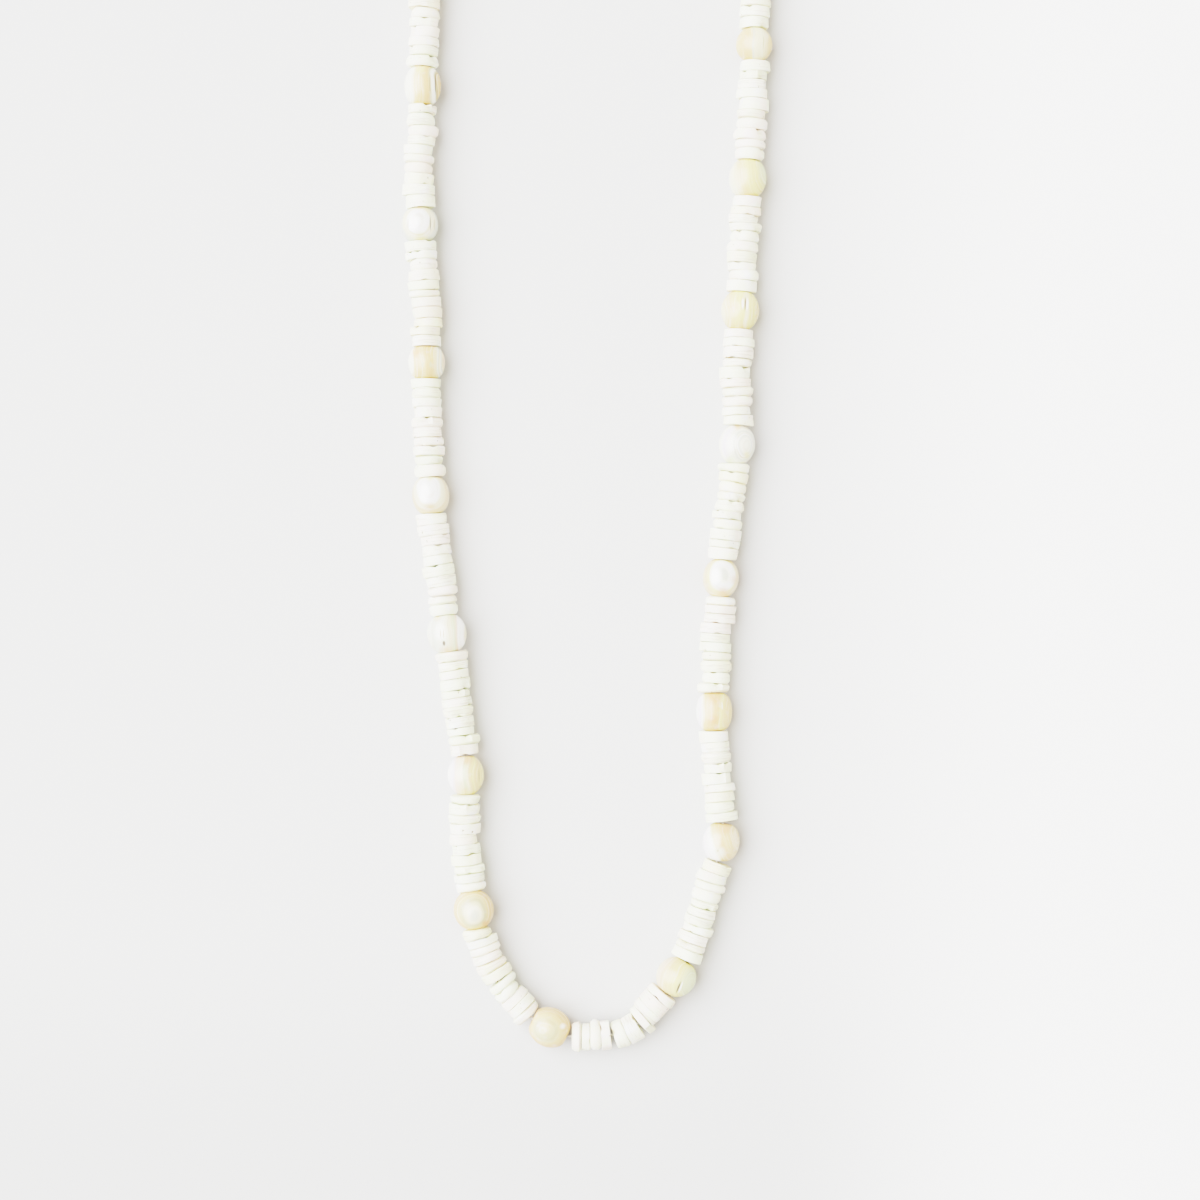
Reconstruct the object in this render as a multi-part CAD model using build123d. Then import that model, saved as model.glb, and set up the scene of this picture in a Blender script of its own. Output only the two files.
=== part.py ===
from build123d import *
import os
import random
from math import radians, sqrt, tan

# A short necklace of white shell discs with a round mother of pearl bead after each run of
# discs. It lies flat in a long loop, with the bottom of the loop towards -Y and the clasp
# at the back towards +Y. Lengths are in millimetres, Z is up, and the surface that the
# necklace lies on is at z = 0. The origin is under the middle of the loop.

# Pearl beads: round, with a soft corner and a small flat round each end of the hole.
BEAD_DIAMETER = 5.9
BEAD_LENGTH = 5.7
BEAD_CROWN = 0.7        # how far the side swells beyond the edge of the end
BEAD_CORNER = 1.3       # rounding where the side meets the end
BEAD_HOLE = 1.2

# Shell discs: thin, flat and drilled, with a worn edge.
DISC_DIAMETER = 5.1
DISC_THICKNESS = 1.3
DISC_EDGE = 0.12        # bevel of the worn edge
DISC_HOLE = 1.6
DISC_UNEVENNESS = 0.2   # share by which a disc may be thicker or thinner than the others
DISC_SPREAD = 0.04      # share by which a disc may be wider or narrower
DISC_SLIP = 0.18        # how far a disc may hang to one side of the thread
DISC_LEAN = 2.2         # degrees that a disc may lean away from its neighbour
LEAN_KEPT = 0.5         # share of a disc's lean that the next one keeps

# Thread and clasp.
THREAD_DIAMETER = 0.4
CLASP_DIAMETER = 5.0
CLASP_LENGTH = 9.0
CLASP_NECK_DIAMETER = 3.0
CLASP_NECK_LENGTH = 1.2
CLASP_EDGE = 0.5
SOCKET_DEPTH = 2.0

CLEARANCE = 0.11        # between any two pieces that would touch
BEND_SHARE = 0.45       # share of a run of the thread that the arc at its end takes up

# The lay of the thread, seen from above, from the clasp down the left side of the loop,
# round the bottom and up the right side to the clasp again.
CLASP_MIDDLE = (-4.0, 119.5)
ROUTE = [
    (-14.5, 119.5), (-22.8, 111.5), (-26.8, 100.0), (-27.0, 86.2), (-28.1, 60.5),
    (-26.8, 47.4), (-26.6, 27.7), (-26.0, 13.5), (-24.0, -1.9), (-22.4, -13.7),
    (-20.4, -25.6), (-21.0, -34.2), (-20.4, -41.8), (-19.1, -50.0), (-17.3, -54.8),
    (-15.2, -59.0), (-11.7, -62.9), (-10.3, -64.6), (-4.9, -67.1), (-3.2, -67.2),
    (2.7, -66.9), (5.5, -65.7), (9.7, -61.0), (12.9, -56.5), (14.8, -50.9),
    (17.3, -42.5), (19.2, -36.9), (18.2, -28.5), (17.5, -18.2), (18.0, -3.8),
    (19.2, 10.0), (21.4, 23.9), (21.0, 33.8), (21.7, 46.2), (22.5, 60.8),
    (23.6, 77.7), (23.9, 90.8), (24.2, 101.0), (18.0, 112.5), (6.5, 119.5),
]

# The string, in the same order: one row for each pearl bead, with the length of the run of
# discs before it as a share of a whole run, and its own diameter, length and crown as shares
# of BEAD_DIAMETER, BEAD_LENGTH and BEAD_CROWN.
BEADS = [
    # run before, diameter, length, crown
    (0.31, 0.97, 0.97, 1.00),
    (1.00, 0.99, 1.00, 1.00),
    (1.00, 0.97, 1.02, 1.00),
    (1.03, 0.97, 0.90, 1.00),
    (1.05, 0.97, 0.88, 1.00),
    (0.98, 0.98, 0.99, 1.00),
    (1.02, 1.04, 1.00, 1.00),
    (1.05, 0.96, 1.04, 1.00),
    (0.97, 1.06, 1.02, 1.50),
    (1.07, 1.04, 1.04, 1.60),
    (1.16, 1.06, 0.98, 1.50),
    (1.06, 0.97, 1.00, 1.00),
    (0.93, 0.95, 1.03, 1.00),
    (0.96, 0.95, 1.00, 1.00),
    (0.97, 0.95, 1.02, 1.00),
    (0.96, 1.00, 1.02, 1.00),
    (0.95, 0.98, 0.99, 1.00),
    (0.99, 0.96, 0.88, 1.00),
    (1.00, 0.98, 0.97, 1.00),
    (1.00, 0.97, 1.00, 1.00),
]
LAST_RUN = 0.17         # the run between the last bead and the clasp, as such a share

# In the run at the bottom of the loop the discs bunch together and lean in two steps. One row
# for each: its thickness as a share of the others', and the way it faces, in degrees from +X
# towards +Y.
BOTTOM_RUN = 11
BOTTOM_DISCS = [
    (1.05, 0), (0.95, 0), (1.05, 2), (0.95, 7), (1.15, 19), (1.35, 31), (0.75, 41),
    (1.00, 43), (1.25, 47), (0.90, 51),
]

# Every bead and disc rests on the surface as far as the play in its hole lets it.
THREAD_HEIGHT = (BEAD_DIAMETER + DISC_DIAMETER) / 4 + CLEARANCE
chance = random.Random(7)


def corner_radius(before, corner, after):
    """The largest arc that rounds this corner and leaves room for the arcs beside it."""
    run = min((corner - before).length, (after - corner).length)
    half_turn = (corner - before).get_angle(after - corner) / 2
    return BEND_SHARE * run / tan(radians(half_turn))


def lay_thread():
    """The thread's line: straight runs joined by arcs, open where the clasp holds its ends."""
    reach = CLASP_LENGTH / 2 - SOCKET_DEPTH + CLEARANCE
    middle_x, middle_y = CLASP_MIDDLE
    flat = [(middle_x - reach, middle_y), *ROUTE, (middle_x + reach, middle_y)]
    points = [Vector(x, y, THREAD_HEIGHT) for x, y in flat]
    corners = zip(points, points[1:], points[2:])
    radii = [corner_radius(*three) for three in corners]
    print("thread radii:", " ".join(f"{radius:.1f}" for radius in radii))
    line = FilletPolyline(*points, radius=radii)
    middle = line.bounding_box().center()
    shift = Vector(-middle.X, -middle.Y, 0)
    return Pos(shift) * line, Vector(middle_x, middle_y, THREAD_HEIGHT) + shift


thread_line, clasp_middle = lay_thread()


def along(distance):
    """The point of the thread's line at this distance from its first end."""
    return thread_line.position_at(distance, position_mode=PositionMode.LENGTH)


def threaded(distance, length):
    """Centre and direction of a straight piece of this length on the thread."""
    tail = along(distance - length / 2)
    head = along(distance + length / 2)
    centre = (tail + head) / 4 + along(distance) / 2
    return centre, (head - tail).normalized()


def lowered(centre, facing, radius, thickness, hole):
    """The centre with its piece let down to the surface, as far as its hole has play."""
    tip = abs(facing.Z)
    upright = sqrt(1 - tip * tip)
    reach = radius * upright + thickness / 2 * tip
    play = (hole - THREAD_DIAMETER) / 2 - CLEARANCE - thickness / 2 * tip
    return Vector(centre.X, centre.Y, max(reach, THREAD_HEIGHT - play))


def make_thread():
    """A round thread along the whole line."""
    start = Plane(thread_line @ 0, z_dir=thread_line % 0)
    section = start * Circle(THREAD_DIAMETER / 2)
    thread = sweep(section, path=thread_line)
    expected = section.area * thread_line.length
    print(f"thread: {thread_line.length:.1f} long, volume {thread.volume:.2f} of {expected:.2f}")
    return thread


def make_clasp():
    """A barrel with a narrower neck at each end, and a socket in each neck for the thread."""
    socket = THREAD_DIAMETER / 2 + CLEARANCE
    neck = CLASP_NECK_DIAMETER / 2
    barrel = CLASP_DIAMETER / 2
    end = CLASP_LENGTH / 2
    shoulder = end - CLASP_NECK_LENGTH
    outline = Polyline(
        (0, -end + SOCKET_DEPTH), (socket, -end + SOCKET_DEPTH), (socket, -end), (neck, -end),
        (neck, -shoulder), (barrel - CLASP_EDGE, -shoulder), (barrel, -shoulder + CLASP_EDGE),
        (barrel, shoulder - CLASP_EDGE), (barrel - CLASP_EDGE, shoulder), (neck, shoulder),
        (neck, end), (socket, end), (socket, end - SOCKET_DEPTH), (0, end - SOCKET_DEPTH),
        close=True,
    )
    turned = revolve(Plane.XZ * make_face(outline), axis=Axis.Z)
    return Plane(clasp_middle, z_dir=(1, 0, 0)) * turned


def make_bead(radius, length, crown):
    """A round bead, turned about its hole, standing on end round the origin."""
    end_radius = radius - crown
    hole = BEAD_HOLE / 2
    half = length / 2
    side = ThreePointArc((end_radius, -half), (radius, 0), (end_radius, half))
    rest = Polyline((end_radius, half), (hole, half), (hole, -half), (end_radius, -half))
    face = make_face(side + rest)
    corners = face.vertices().sort_by(Axis.X)[-2:]
    face = fillet(corners, BEAD_CORNER)
    return revolve(Plane.XZ * face, axis=Axis.Z)


def make_disc(radius, thickness):
    """A drilled disc with a worn edge, lying flat round the origin."""
    half = thickness / 2
    hole = DISC_HOLE / 2
    outline = Polyline(
        (hole, -half), (radius - DISC_EDGE, -half), (radius, -half + DISC_EDGE),
        (radius, half - DISC_EDGE), (radius - DISC_EDGE, half), (hole, half),
        close=True,
    )
    return revolve(Plane.XZ * make_face(outline), axis=Axis.Z)


def leaning(direction, turn, nod):
    """The direction turned sideways and then tipped up by a few degrees."""
    sideways = direction.rotate(Axis.Z, turn)
    level = Axis((0, 0, 0), sideways.cross(Vector(0, 0, 1)))
    return sideways.rotate(level, nod)


def follow_thread(start, length):
    """Thickness share and facing of each disc of a run that follows the thread by chance."""
    count = max(1, round(length / (DISC_THICKNESS + 2 * CLEARANCE)))
    shares, facings = [], []
    turn, nod = 0.0, 0.0
    for place in range(count):
        shares.append(1 + chance.uniform(-DISC_UNEVENNESS, DISC_UNEVENNESS))
        turn = LEAN_KEPT * turn + chance.uniform(-DISC_LEAN, DISC_LEAN)
        nod = LEAN_KEPT * nod + chance.uniform(-DISC_LEAN, DISC_LEAN)
        nominal = start + length * (place + 0.5) / count
        direction = threaded(nominal, DISC_THICKNESS)[1]
        facings.append(leaning(direction, turn, nod))
    return shares, facings


def bunch_up():
    """Thickness share and facing of each disc of the run at the bottom of the loop."""
    shares = [share for share, _ in BOTTOM_DISCS]
    facings = [Vector(1, 0, 0).rotate(Axis.Z, degrees) for _, degrees in BOTTOM_DISCS]
    return shares, facings


def make_run(start, finish, tail, head, number):
    """The discs of one run, between faces that look along tail and head."""
    length = finish - start
    shares, facings = bunch_up() if number == BOTTOM_RUN else follow_thread(start, length)
    count = len(shares)
    radii = []
    for place in range(count):
        radii.append(DISC_DIAMETER / 2 * (1 + chance.uniform(-DISC_SPREAD, DISC_SPREAD)))
    # Two discs that lean apart meet at their rims, so at the thread they keep a wedge's width.
    # A disc meets a bead nearer to the thread, at the bead's rounded corner.
    rim = DISC_DIAMETER / 2 * (1 + DISC_SPREAD) + DISC_SLIP
    corner = BEAD_DIAMETER / 2 - BEAD_CROWN - BEAD_CORNER / 2
    reaches = [corner] + [rim] * (count - 1) + [corner]
    leans = [(b - a).length for a, b in zip([tail, *facings], [*facings, head])]
    rooms = [CLEARANCE + reach * lean for reach, lean in zip(reaches, leans)]
    unit = (length - sum(rooms)) / sum(shares)
    discs = []
    position = start
    for radius, share, facing, room in zip(radii, shares, facings, rooms):
        thickness = unit * share
        position += room + thickness / 2
        slip = chance.uniform(-DISC_SLIP, DISC_SLIP)
        centre = lowered(along(position), facing, radius, thickness, DISC_HOLE)
        sideways = facing.cross(Vector(0, 0, 1)).normalized()
        stand = Plane(centre + sideways * slip, z_dir=facing)
        discs.append(stand * make_disc(radius, thickness))
        position += thickness / 2
    return discs


def string_up():
    """Every bead and every run of discs, in order, as named groups of solids."""
    start = SOCKET_DEPTH - CLEARANCE
    finish = thread_line.length - start
    bead_lengths = [BEAD_LENGTH * share for _, _, share, _ in BEADS]
    run_shares = [share for share, _, _, _ in BEADS] + [LAST_RUN]
    whole_run = (finish - start - sum(bead_lengths)) / sum(run_shares)
    print(f"string: {finish - start:.1f} long, a whole run is {whole_run:.2f}")
    pieces = {}
    position = start
    tail = Vector(-1, 0, 0)
    for number, (run_share, diameter_share, length_share, crown_share) in enumerate(BEADS, 1):
        length = BEAD_LENGTH * length_share
        radius = BEAD_DIAMETER * diameter_share / 2
        bead_start = position + whole_run * run_share
        middle = bead_start + length / 2
        centre, direction = threaded(middle, length)
        run = make_run(position, bead_start, tail, direction, number)
        pieces[f"shell_disc_run_{number:02d}"] = run
        stand = Plane(lowered(centre, direction, radius, length, BEAD_HOLE), z_dir=direction)
        bead = make_bead(radius, length, BEAD_CROWN * crown_share)
        pieces[f"pearl_bead_{number:02d}"] = [stand * bead]
        position = bead_start + length
        tail = direction
    last = len(BEADS) + 1
    run = make_run(position, finish, tail, Vector(-1, 0, 0), last)
    pieces[f"shell_disc_run_{last:02d}"] = run
    return pieces


nodes = string_up()
nodes["thread"] = [make_thread()]
nodes["barrel_clasp"] = [make_clasp()]
os.makedirs("parts", exist_ok=True)
for name, solids in nodes.items():
    whole = solids[0] if len(solids) == 1 else Compound(children=solids)
    export_step(whole, f"parts/{name}.step")
print(len(nodes), "nodes,", sum(len(solids) for solids in nodes.values()), "solids")
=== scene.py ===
# %% [markdown]
# # A necklace of white shell discs and mother of pearl beads
#
# The real necklace is one thin thread. About two hundred small white shell discs are strung on
# it, and a round bead cut from mother of pearl after every ten or so. It lies on a pale surface
# in a long loop, photographed from straight above in soft light from the left.
#
# The sizes and places of its pieces come with the frame, in metres. This lesson gives them their
# real surfaces: worn, uneven discs, beads with the layers of the shell in them, a twisted thread
# and a turned clasp.

# %% Load the frame
import math
import random
import bmesh
import bpy
import numpy as np
from mathutils import Matrix, Vector


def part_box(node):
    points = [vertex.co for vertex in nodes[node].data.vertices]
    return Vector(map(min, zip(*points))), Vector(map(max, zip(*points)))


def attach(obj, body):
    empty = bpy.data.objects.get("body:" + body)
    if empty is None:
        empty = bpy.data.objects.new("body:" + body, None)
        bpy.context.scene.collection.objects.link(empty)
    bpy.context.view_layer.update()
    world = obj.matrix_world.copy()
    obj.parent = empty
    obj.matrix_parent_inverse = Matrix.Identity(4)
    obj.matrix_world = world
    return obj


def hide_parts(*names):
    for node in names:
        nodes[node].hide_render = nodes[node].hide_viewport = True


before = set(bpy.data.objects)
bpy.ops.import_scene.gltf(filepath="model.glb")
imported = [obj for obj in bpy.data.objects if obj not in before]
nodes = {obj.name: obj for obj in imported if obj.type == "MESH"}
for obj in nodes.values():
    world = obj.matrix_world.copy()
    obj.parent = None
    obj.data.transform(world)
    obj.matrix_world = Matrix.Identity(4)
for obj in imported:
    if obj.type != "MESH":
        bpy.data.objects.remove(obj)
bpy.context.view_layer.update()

MM = 0.001
scene = bpy.context.scene
bead_names = sorted(name for name in nodes if name.startswith("pearl_bead"))
run_names = sorted(name for name in nodes if name.startswith("shell_disc_run"))

# %% [markdown]
# ## The camera
#
# The photograph looks straight down. A camera could be set by eye, but three beads that are easy
# to find settle it better: their places in the picture and on the table give the scale, and the
# scale gives the camera's height. A long lens keeps the tall beads from leaning outwards.

# %% Set the camera above the loop
PICTURE = 1200
BEADS_IN_PICTURE = {
    "pearl_bead_03": (423.2, 85.5),
    "pearl_bead_10": (549.7, 1027.7),
    "pearl_bead_18": (753.6, 44.7),
}
LENS = 85
SENSOR = 36
CLIP_REACH = 100  # the camera sees so many times nearer and further than the table


def middle(node):
    """The middle of a node's box."""
    low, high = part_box(node)
    return (low + high) / 2


def frame_the_loop():
    """A camera straight above, placed so that the three beads lie where the picture has them."""
    seen = {name: Vector((x, -y)) for name, (x, y) in BEADS_IN_PICTURE.items()}
    real = {name: middle(name).xy for name in seen}
    seen_middle = sum(seen.values(), Vector((0, 0))) / len(seen)
    real_middle = sum(real.values(), Vector((0, 0))) / len(real)
    seen_spread = sum((seen[name] - seen_middle).length for name in seen)
    real_spread = sum((real[name] - real_middle).length for name in seen)
    pixel = real_spread / seen_spread
    aim = real_middle + (Vector((PICTURE / 2, -PICTURE / 2)) - seen_middle) * pixel
    height = middle("pearl_bead_10").z + PICTURE * pixel * LENS / SENSOR
    camera = bpy.data.objects.new("camera", bpy.data.cameras.new("camera"))
    scene.collection.objects.link(camera)
    camera.location = (aim.x, aim.y, height)
    camera.data.lens = LENS
    camera.data.sensor_width = SENSOR
    camera.data.clip_start = height / CLIP_REACH
    camera.data.clip_end = height * CLIP_REACH
    scene.camera = camera
    print(f"camera: {MM / pixel:.2f} pixels to a millimetre, {height:.3f} m up")


frame_the_loop()

# %% [markdown]
# ## Surfaces made of nodes
#
# Every finish below is a small tree of shader nodes. It could be drawn in the shader editor, but
# written as calls it reads from top to bottom. One helper adds a node and sets or links what goes
# into it. The others name what comes back often: a sum, a soft step, a mix of tones.

# %% Make a finish and give it to a piece


def node(tree, kind, inputs=None, **settings):
    """A new shader node, with its settings, and its inputs set or linked."""
    made = tree.nodes.new("ShaderNode" + kind)
    for name, value in settings.items():
        setattr(made, name, value)
    for key, value in (inputs or {}).items():
        if isinstance(value, bpy.types.NodeSocket):
            tree.links.new(value, made.inputs[key])
        else:
            made.inputs[key].default_value = value
    return made


def new_finish(name, values):
    """A material with its node tree, and its surface shader with these plain values."""
    finish = bpy.data.materials.new(name)
    finish.use_nodes = True
    tree = finish.node_tree
    tree.nodes.clear()
    shader = node(tree, "BsdfPrincipled", values)
    node(tree, "OutputMaterial", {"Surface": shader.outputs["BSDF"]})
    return finish, tree, shader


def own_place(tree):
    """Where a point of the piece is, in metres."""
    return node(tree, "TexCoord").outputs["Object"]


def cover(tree, shader, tone, height=None, depth=0.0, strength=0.0):
    """Gives a surface its tone, and a relief of this height pattern if there is one."""
    tree.links.new(tone, shader.inputs["Base Color"])
    if height is not None:
        inputs = {"Height": height, "Distance": depth, "Strength": strength}
        bump = node(tree, "Bump", inputs)
        tree.links.new(bump.outputs["Normal"], shader.inputs["Normal"])


def dress(piece, finish):
    """Gives a piece this finish and no other."""
    piece.data.materials.clear()
    piece.data.materials.append(finish)


# %% Name the steps of a pattern


def maths(tree, operation, *values):
    """The result of a sum, a product and so on."""
    return node(tree, "Math", dict(enumerate(values)), operation=operation).outputs[0]


def most(tree, share, *others):
    """The greatest of several shares."""
    for other in others:
        share = maths(tree, "MAXIMUM", share, other)
    return share


def vectors(tree, operation, *values):
    """The result of a step with vectors, which is a number for a length or a dot product."""
    made = node(tree, "VectorMath", dict(enumerate(values)), operation=operation)
    return made.outputs["Value" if operation in ("LENGTH", "DOT_PRODUCT") else "Vector"]


def scaled(tree, vector, factor):
    """A vector made longer by a factor."""
    inputs = {"Vector": vector, "Scale": factor}
    return node(tree, "VectorMath", inputs, operation="SCALE").outputs["Vector"]


def parted(tree, vector):
    """The three numbers of a vector."""
    return list(node(tree, "SeparateXYZ", {0: vector}).outputs)


def step(tree, value, start, end, low=0.0, high=1.0):
    """A soft step from low to high as the value goes from start to end."""
    inputs = {"Value": value, "From Min": start, "From Max": end, "To Min": low, "To Max": high}
    made = node(tree, "MapRange", inputs, interpolation_type="SMOOTHSTEP")
    return made.outputs["Result"]


def coated(tree, tone, *coats):
    """A tone with others laid over it in turn, each with its share."""
    for share, over in coats:
        made = node(tree, "Mix", {0: share, 6: tone, 7: over}, data_type="RGBA")
        tone = made.outputs[2]
    return tone


def grain(tree, place, scale, detail=2.0, roughness=0.5, seed=0.0):
    """Cloudy noise between 0 and 1 at a place."""
    inputs = {"Vector": place, "W": seed, "Scale": scale, "Detail": detail, "Roughness": roughness}
    return node(tree, "TexNoise", inputs, noise_dimensions="4D").outputs["Fac"]


# %% [markdown]
# ## The table and the light
#
# The surface under the necklace is plain and pale, so it is one wide sheet with a barely cloudy
# paper-like tone. Painted light makes it a little lighter to the right, painted shade makes it
# darker in front, and it is even again further out.
# A pale wall stands far round it, as in a light tent, so that a low view doesn't end in a dark
# sky. It throws no shadow, and lights nothing but what is glossy.
#
# A broad sun that slants down from the left stands for a soft studio lamp: its wide angle makes
# the soft shadows to the right. A weak, low one from the right stands for the light that comes
# back from a wall, and an even glow fills the rest.

# %% Lay the table
FLOOR_SIZE = 6.0
FLOOR_TONE = (0.62, 0.62, 0.62, 1)
FLOOR_TONE_CLOUD = (0.60, 0.60, 0.60, 1)
# The next tone is painted light to the right, the one after it painted shade in front.
FLOOR_PAINTED_LIGHT = (0.85, 0.85, 0.85, 1)
FLOOR_PAINTED_SHADE = (0.54, 0.54, 0.54, 1)
FLOOR_CLOUDS = 9.0  # in a metre
# The painted light to the right: where it starts and where it is full.
PAINTED_LIGHT_SPAN = (25 * MM, 75 * MM)  # where its lighter tone starts and where it is full
# The painted shade in front: where it starts and where it is full.
PAINTED_SHADE_SPAN = (-75 * MM, -115 * MM)
FLOOR_FAR = (150 * MM, 450 * MM)
FLOOR_SHINE = {"Roughness": 0.9, "Specular IOR Level": 0.1}


def lay_table():
    """A wide pale sheet at the height that the necklace rests on."""
    bpy.ops.object.select_all(action="DESELECT")
    bpy.ops.mesh.primitive_plane_add(size=FLOOR_SIZE)
    floor = bpy.context.active_object
    floor.name = "floor"
    finish, tree, shader = new_finish("pale_table", FLOOR_SHINE)
    place = own_place(tree)
    right, front = parted(tree, place)[:2]
    far = vectors(tree, "LENGTH", place)
    # The cloudy tone, then painted shade in front and painted light to the right, then even tone
    # far out.
    tone = coated(tree, FLOOR_TONE,
                  (grain(tree, place, FLOOR_CLOUDS), FLOOR_TONE_CLOUD),
                  (step(tree, front, *PAINTED_SHADE_SPAN), FLOOR_PAINTED_SHADE),
                  (step(tree, right, *PAINTED_LIGHT_SPAN), FLOOR_PAINTED_LIGHT),
                  (step(tree, far, *FLOOR_FAR), FLOOR_TONE))
    cover(tree, shader, tone)
    dress(floor, finish)


lay_table()
print("table", FLOOR_SIZE, "m wide")

# %% Hang the tent
TENT_RADIUS = 2.8
TENT_HEIGHT = 2.4
TENT_SIDES = 96
TENT_SHINE = {
    "Base Color": (0, 0, 0, 1), "Specular IOR Level": 0.0,
    "Emission Color": (1, 1, 1, 1), "Emission Strength": 0.86,
}


def hang_tent():
    """A pale wall far round the table, seen but not shining on it."""
    bpy.ops.object.select_all(action="DESELECT")
    bpy.ops.mesh.primitive_cylinder_add(
        vertices=TENT_SIDES, radius=TENT_RADIUS, depth=TENT_HEIGHT, end_fill_type="NOTHING")
    tent = bpy.context.active_object
    tent.name = "tent"
    bpy.ops.object.mode_set(mode="EDIT")
    bpy.ops.mesh.flip_normals()
    bpy.ops.object.mode_set(mode="OBJECT")
    bpy.ops.object.shade_smooth()
    dress(tent, new_finish("tent_cloth", TENT_SHINE)[0])
    tent.visible_diffuse = False
    tent.visible_shadow = False


hang_tent()
print("tent", 2 * TENT_RADIUS, "m wide")

# %% Hang the lamps
SKY_STRENGTH = 0.14
SKY_TONE = (1.0, 0.94, 0.84, 1)
# Each lamp's strength, tone, spread in degrees, and where it shines from.
LAMPS = {
    "lamp": (4.35, (0.97, 0.985, 1.0), 72, (-1.0, 0.2, 1.2)),
    "fill": (1.15, (1.0, 0.93, 0.82), 110, (1.0, 0.0, 0.55)),
}
EXPOSURE = 1.0


def hang_lamp(name, strength, tone, spread, direction):
    """A broad lamp that shines on the table from this direction."""
    lamp = bpy.data.objects.new(name, bpy.data.lights.new(name, "SUN"))
    scene.collection.objects.link(lamp)
    lamp.data.energy = strength
    lamp.data.color = tone
    lamp.data.angle = math.radians(spread)
    lamp.rotation_euler = Vector(direction).to_track_quat("Z", "Y").to_euler()
    print(name, "spreads over", spread, "degrees")


def light_the_table():
    """A broad lamp from the left, a weak one from the right, and an even glow."""
    world = bpy.data.worlds.new("studio")
    world.use_nodes = True
    glow = world.node_tree.nodes["Background"]
    glow.inputs["Color"].default_value = SKY_TONE
    glow.inputs["Strength"].default_value = SKY_STRENGTH
    scene.world = world
    for name, lamp in LAMPS.items():
        hang_lamp(name, *lamp)
    shown = scene.view_settings
    shown.view_transform = "Filmic"
    shown.look = "Very High Contrast"
    shown.exposure = EXPOSURE


light_the_table()

# %% [markdown]
# ## Where each bead and disc sits
#
# The frame gives a whole run of discs as one mesh. Each disc in it is a separate closed shell, so
# walking from face to face finds them one by one. The flat ends share one direction, the way the
# thread goes through. With it come the width and the thickness.

# %% Measure the turned pieces of the frame
WELD = 1e-6
FACING_DIGITS = 2  # faces whose directions agree to so many digits are flat together
RING_DIGITS = 7  # corners whose places agree to so many digits are one ring


def measured(faces):
    """Middle, direction of the hole, radius, length and outline of one turned solid."""
    shares = {}
    for face in faces:
        key = tuple(round(abs(part), FACING_DIGITS) for part in face.normal)
        shares.setdefault(key, []).append(face)
    flat = max(shares.values(), key=lambda group: sum(face.calc_area() for face in group))
    largest = max(flat, key=lambda face: face.calc_area())
    axis = largest.normal.normalized()
    corners = {vert for face in faces for vert in face.verts}
    points = np.array([vert.co for vert in corners])
    centre = (points.min(0) + points.max(0)) / 2
    heights = (points - centre) @ np.array(axis)
    spans = np.linalg.norm(points - centre - np.outer(heights, axis), axis=1)
    outline = sorted(zip(np.round(heights, RING_DIGITS), np.round(spans, RING_DIGITS)))
    return {
        "centre": Vector(centre), "axis": axis, "radius": spans.max(),
        "length": heights.max() - heights.min(), "hole": spans.min(), "outline": outline,
    }


def solids_of(name):
    """What measured gives, for each separate solid of a node."""
    work = bmesh.new()
    work.from_mesh(nodes[name].data)
    bmesh.ops.remove_doubles(work, verts=work.verts, dist=WELD)
    found, seen = [], set()
    for first in work.faces:
        if first in seen:
            continue
        seen.add(first)
        reached = [first]
        for face in reached:
            for edge in face.edges:
                near = [other for other in edge.link_faces if other not in seen]
                seen.update(near)
                reached.extend(near)
        found.append(measured(reached))
    work.free()
    return found


def point_along(solid, way):
    """Turns the axis of a solid round if it points against this way."""
    if solid["axis"].dot(way) < 0:
        solid["axis"] = -solid["axis"]


def in_order(solids, start):
    """The solids of a run in the order of the thread, their directions along it."""
    solids = sorted(solids, key=lambda solid: (solid["centre"] - start).length)
    for solid in solids:
        point_along(solid, solid["centre"] - start)
    return solids


beads = {name: solids_of(name)[0] for name in bead_names}
clasp_solid = solids_of("barrel_clasp")[0]
starts = [middle("barrel_clasp")] + [beads[name]["centre"] for name in bead_names]
runs = {name: in_order(solids_of(name), start) for name, start in zip(run_names, starts)}
for name, run in zip(bead_names, runs.values()):
    point_along(beads[name], beads[name]["centre"] - run[-1]["centre"])
point_along(clasp_solid, Vector((-1, 0, 0)))
all_discs = [disc for run in runs.values() for disc in run]
wide, thick = (np.mean([disc[key] for disc in all_discs]) / MM for key in ("radius", "length"))
print(f"{len(all_discs)} discs, about {wide * 2:.2f} mm wide and {thick:.2f} mm thick")

# %% [markdown]
# ## One shell disc
#
# The real discs are chips of white shell, drilled, strung tight and ground round together. So
# they are nearly round: the rim is worn soft, here and there a corner has broken away, the edge
# of a face dips a little, and one face is narrower than the other. There are two hundred of
# them, so each has only a few dozen faces, and a dozen different ones are enough.
#
# One could be sculpted, but the tools of edit mode make it faster from a cylinder: inset the ends
# for the hole, bridge the hole's wall, bevel the rim, then move single corners.

# %% Model a plain drilled disc
DISC_SIDES = 18
DISC_RADIUS = 2.55 * MM
DISC_THICKNESS = 1.3 * MM
HOLE_RADIUS = 0.8 * MM
DISC_WEAR = (0.08 * MM, 0.17 * MM, 0.33 * MM)  # a fresh rim, a usual one, a well worn one
NEARLY = 0.99  # this share of the radius, or of a direction, counts as all
ONE_PLANE = math.radians(1)  # faces that differ by less become one


def pick(piece, kind, wanted):
    """Selects the vertices, edges or faces of a piece in edit mode for which wanted is true."""
    bpy.ops.mesh.select_mode(type=kind)
    bpy.ops.mesh.select_all(action="DESELECT")
    work = bmesh.from_edit_mesh(piece.data)
    parts = {"VERT": work.verts, "EDGE": work.edges, "FACE": work.faces}[kind]
    for part in parts:
        if wanted(part):
            part.select_set(True)
    work.select_flush_mode()
    bmesh.update_edit_mesh(piece.data)


def span(place):
    """Distance from the axis of a piece that stands on its hole."""
    return math.hypot(place.x, place.y)


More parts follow.
